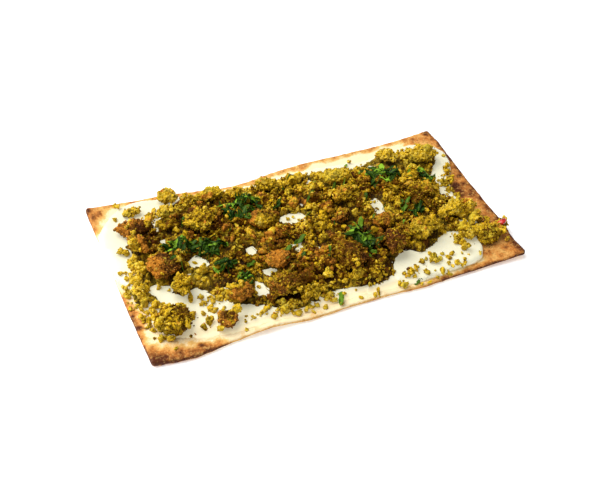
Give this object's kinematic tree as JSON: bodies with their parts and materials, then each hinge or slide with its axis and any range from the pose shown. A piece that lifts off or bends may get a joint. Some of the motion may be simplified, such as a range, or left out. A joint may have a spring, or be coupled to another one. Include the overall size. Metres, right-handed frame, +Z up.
{
  "type": "labneh and falafel flatbread",
  "caption": "Crisp rectangular flatbread spread with labneh, heaped with crumbled falafel and strewn with shredded mint; it lies flat on its underside.",
  "frame": {"origin": "middle of the bread's underside, where it rests", "axes": "+X along the bread, +Y across it, +Z up through the toppings"},
  "size_m": [0.3052, 0.1562, 0.0256],
  "materials": {
    "bread": "dry baked crumb, cream inside the rim and toasted brown at the edges",
    "labneh": "smooth thick cream with a soft sheen",
    "falafel_crumb": "coarse moist crumb, mustard to olive",
    "falafel_crust": "fried crust, brown, over a mustard crumb",
    "chilli": "moist and smooth",
    "mint": "fresh leaf, with a soft sheen"
  },
  "bodies": {
    "root": {"flatbread": "bread", "labneh": "labneh", "falafel_crumble": "falafel_crumb", "falafel_chunk_01": "falafel_crust", "falafel_chunk_02": "falafel_crust", "falafel_chunk_03": "falafel_crust", "falafel_chunk_04": "falafel_crust", "falafel_chunk_05": "falafel_crust", "falafel_chunk_06": "falafel_crust", "falafel_chunk_07": "falafel_crust", "falafel_chunk_08": "falafel_crust", "falafel_chunk_09": "falafel_crust", "falafel_chunk_10": "falafel_crust", "falafel_chunk_11": "falafel_crust", "falafel_chunk_12": "falafel_crust", "falafel_chunk_13": "falafel_crust", "falafel_chunk_14": "falafel_crust", "falafel_chunk_15": "falafel_crust", "falafel_chunk_16": "falafel_crust", "falafel_chunk_17": "falafel_crust", "falafel_chunk_18": "falafel_crust", "falafel_chunk_19": "falafel_crust", "falafel_chunk_20": "falafel_crust", "falafel_chunk_21": "falafel_crust", "falafel_chunk_22": "falafel_crust", "falafel_chunk_23": "falafel_crust", "falafel_chunk_24": "falafel_crust", "falafel_chunk_25": "falafel_crust", "falafel_chunk_26": "falafel_crust", "falafel_chunk_27": "falafel_crust", "falafel_chunk_28": "falafel_crust", "falafel_chunk_29": "falafel_crust", "falafel_chunk_30": "falafel_crust", "falafel_chunk_31": "falafel_crust", "falafel_chunk_32": "falafel_crust", "chilli_piece": "chilli", "mint_pile_01": "mint", "mint_pile_02": "mint", "mint_pile_03": "mint", "mint_pile_04": "mint", "mint_pile_05": "mint", "mint_pile_06": "mint", "mint_pile_07": "mint", "mint_pile_08": "mint", "mint_pile_09": "mint", "mint_shred_01": "mint", "mint_shred_02": "mint", "mint_shred_03": "mint", "mint_shred_04": "mint", "mint_shred_05": "mint", "mint_shred_06": "mint", "mint_shred_07": "mint", "mint_shred_08": "mint", "mint_shred_09": "mint", "mint_shred_10": "mint", "mint_shred_11": "mint", "mint_shred_12": "mint"}
  },
  "joints": []
}
